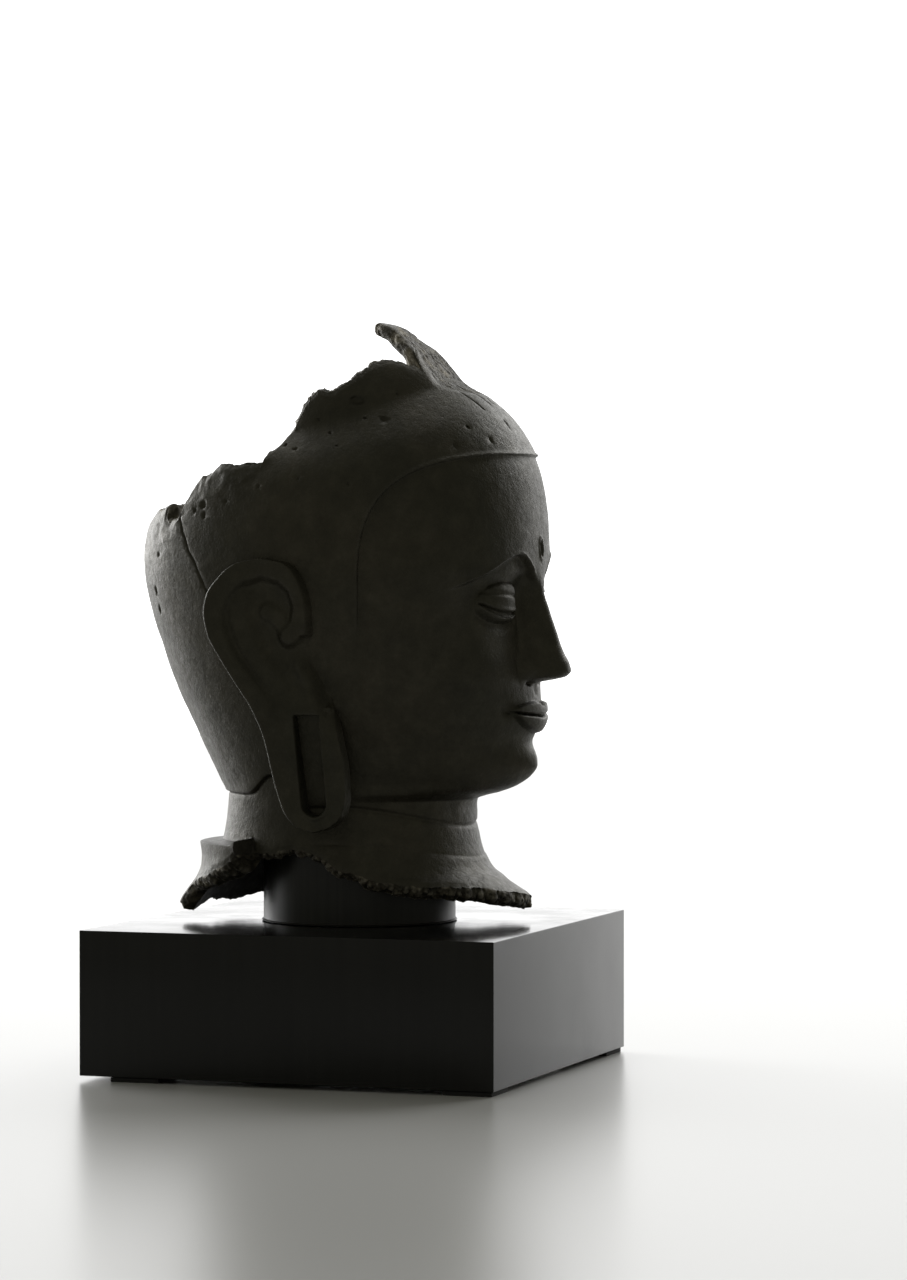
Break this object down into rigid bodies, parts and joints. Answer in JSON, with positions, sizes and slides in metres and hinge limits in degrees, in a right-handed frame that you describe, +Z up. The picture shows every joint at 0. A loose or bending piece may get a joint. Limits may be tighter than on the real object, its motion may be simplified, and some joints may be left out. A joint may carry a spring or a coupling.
{
  "type": "broken bronze buddha head on a plinth",
  "caption": "Hollow cast head with long pierced ears, broken open at the crown and neck, standing on a cylindrical post and a square block.",
  "frame": {"origin": "on the surface that the foot pads stand on, under the middle of the plinth and the head", "axes": "+Z up; the face looks along -Y; +X is the head's left side"},
  "size_m": [0.24, 0.2495, 0.42],
  "materials": {
    "bronze": "old bronze with a dark brown-grey patina, casting pores and rough broken edges",
    "post_paint": "satin black paint on turned wood",
    "plinth_lacquer": "satin black lacquer with a faint upright grain",
    "pad": "thin black rubber"
  },
  "bodies": {
    "root": {"buddha_head": "bronze", "post": "post_paint", "plinth": "plinth_lacquer", "foot_pad_front_right": "pad", "foot_pad_front_left": "pad", "foot_pad_back_right": "pad", "foot_pad_back_left": "pad"}
  },
  "joints": []
}
